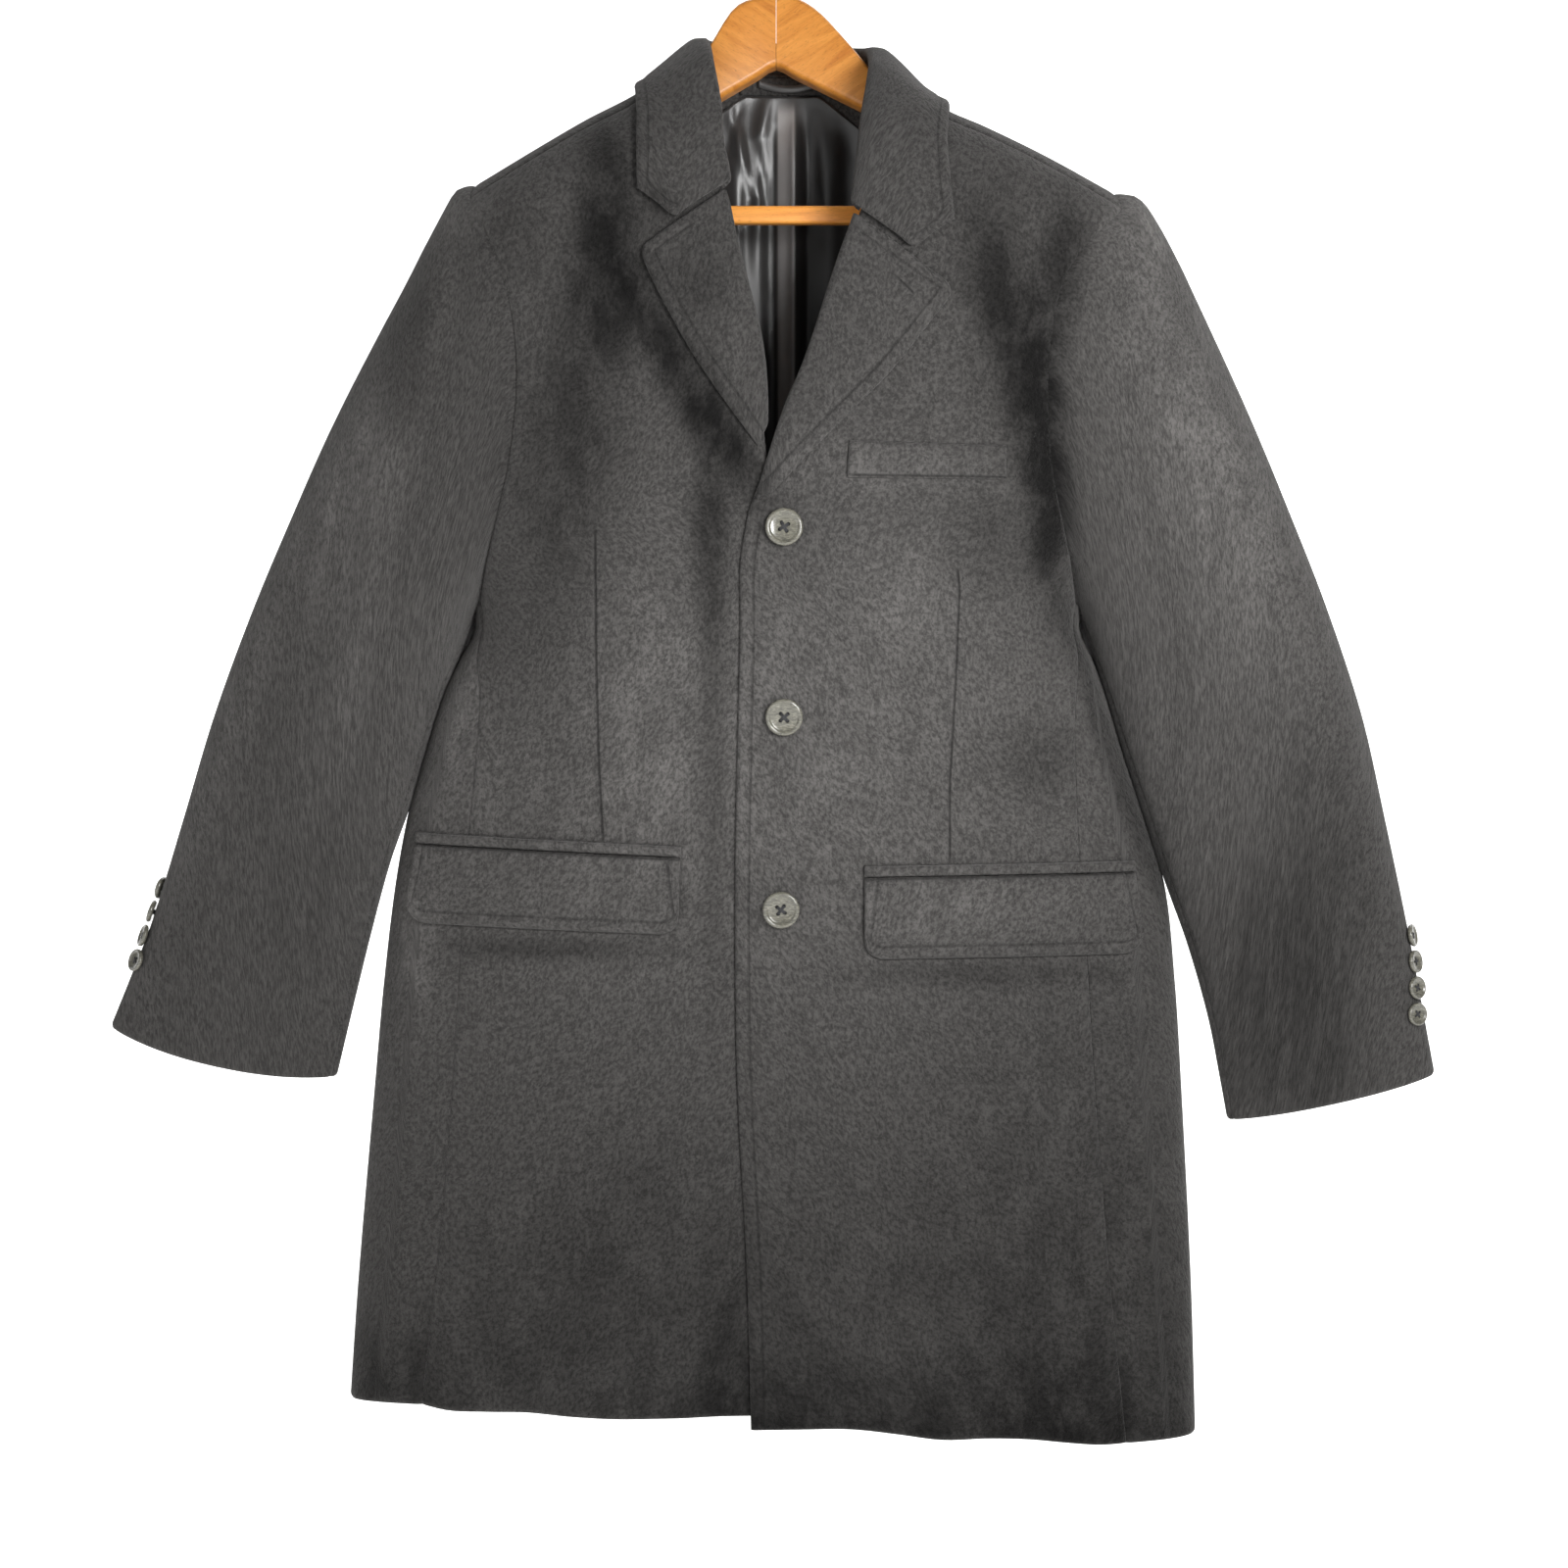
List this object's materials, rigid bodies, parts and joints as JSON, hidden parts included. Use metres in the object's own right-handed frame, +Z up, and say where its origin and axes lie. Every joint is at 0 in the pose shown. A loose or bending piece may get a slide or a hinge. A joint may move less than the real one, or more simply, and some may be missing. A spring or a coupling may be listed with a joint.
{
  "type": "wool overcoat on a wooden hanger",
  "caption": "Single-breasted knee-length wool overcoat with notch lapels, flap pockets and a breast welt, buttoned, hanging on a contoured wooden hanger with a trouser bar.",
  "frame": {"origin": "inner top of the hanger's hook, where it rests on a rod", "axes": "+Z up, the coat's front faces -Y, the wearer's left is +X"},
  "size_m": [0.8944, 0.1505, 1.046],
  "materials": {
    "wool": "napped charcoal wool",
    "lining": "dark satin",
    "buttons": "dark horn grey, polished",
    "hanger_wood": "varnished honey wood",
    "hook_steel": "polished steel wire"
  },
  "bodies": {
    "root": {"front_right": "wool", "back_right": "wool", "side_right": "wool", "sleeve_top_right": "wool", "sleeve_under_right": "wool", "lapel_right": "wool", "flap_right": "wool", "flap_jet_right": "wool", "front_left": "wool", "back_left": "wool", "side_left": "wool", "sleeve_top_left": "wool", "sleeve_under_left": "wool", "lapel_left": "wool", "flap_left": "wool", "flap_jet_left": "wool", "collar_leaf": "wool", "collar_stand": "wool", "breast_welt": "wool", "neck_facing": "wool", "lining_back": "lining", "hanging_loop": "lining", "button_front_1": "buttons", "button_front_2": "buttons", "button_front_3": "buttons", "button_cuff_right_1": "buttons", "button_cuff_right_2": "buttons", "button_cuff_right_3": "buttons", "button_cuff_right_4": "buttons", "button_cuff_left_1": "buttons", "button_cuff_left_2": "buttons", "button_cuff_left_3": "buttons", "button_cuff_left_4": "buttons", "hanger_arm_right": "hanger_wood", "hanger_arm_left": "hanger_wood", "hanger_bar": "hanger_wood", "hanger_hook": "hook_steel"}
  },
  "joints": []
}
